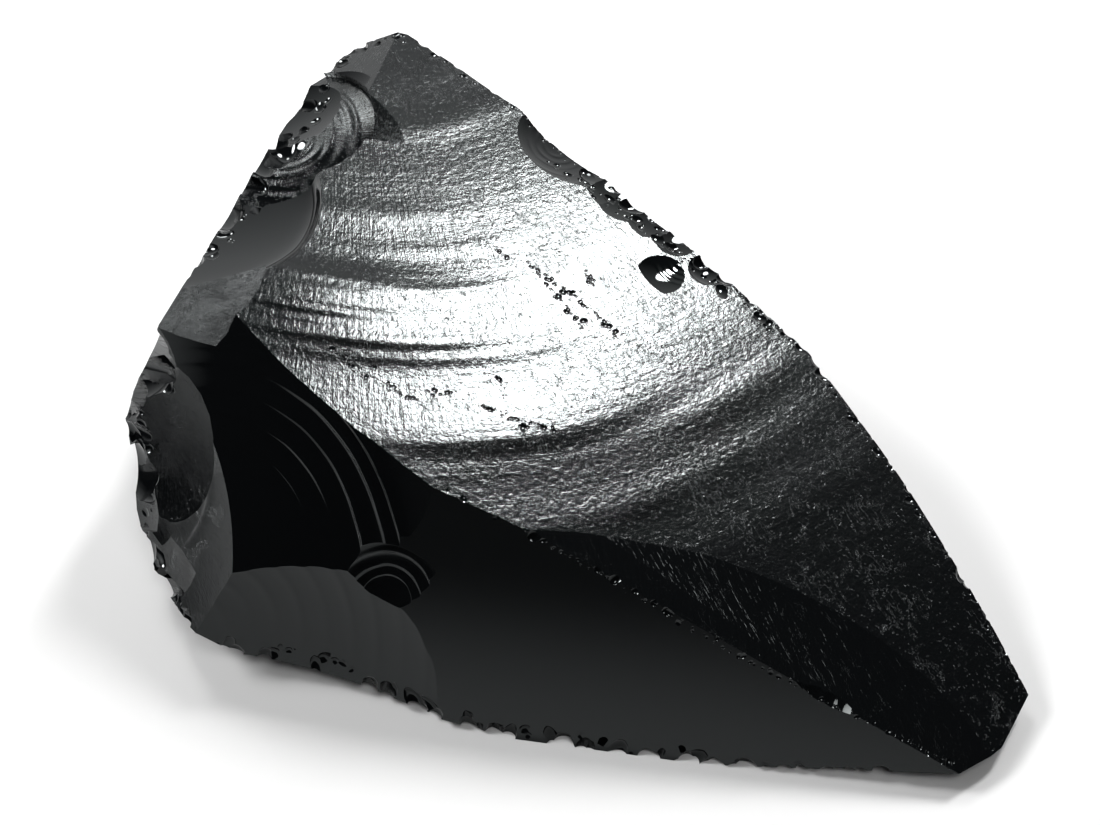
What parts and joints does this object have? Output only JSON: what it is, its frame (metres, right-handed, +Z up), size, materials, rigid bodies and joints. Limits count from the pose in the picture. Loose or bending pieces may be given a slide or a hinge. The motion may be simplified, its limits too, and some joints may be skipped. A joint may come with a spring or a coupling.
{
  "type": "obsidian chunk",
  "caption": "Rough wedge of black volcanic glass, broken on every side, with shell-shaped rippled scars and sharp crumbled edges, lying on its flat underside.",
  "frame": {"origin": "on the ground under the middle of the lump", "axes": "+X from the blunt end towards the thin point, +Y towards the high back corner, +Z up from the flat underside"},
  "size_m": [0.0898, 0.075, 0.0312],
  "materials": {
    "obsidian": "glassy black, satin on the long upper face"
  },
  "bodies": {
    "root": {"obsidian_chunk": "obsidian"}
  },
  "joints": []
}
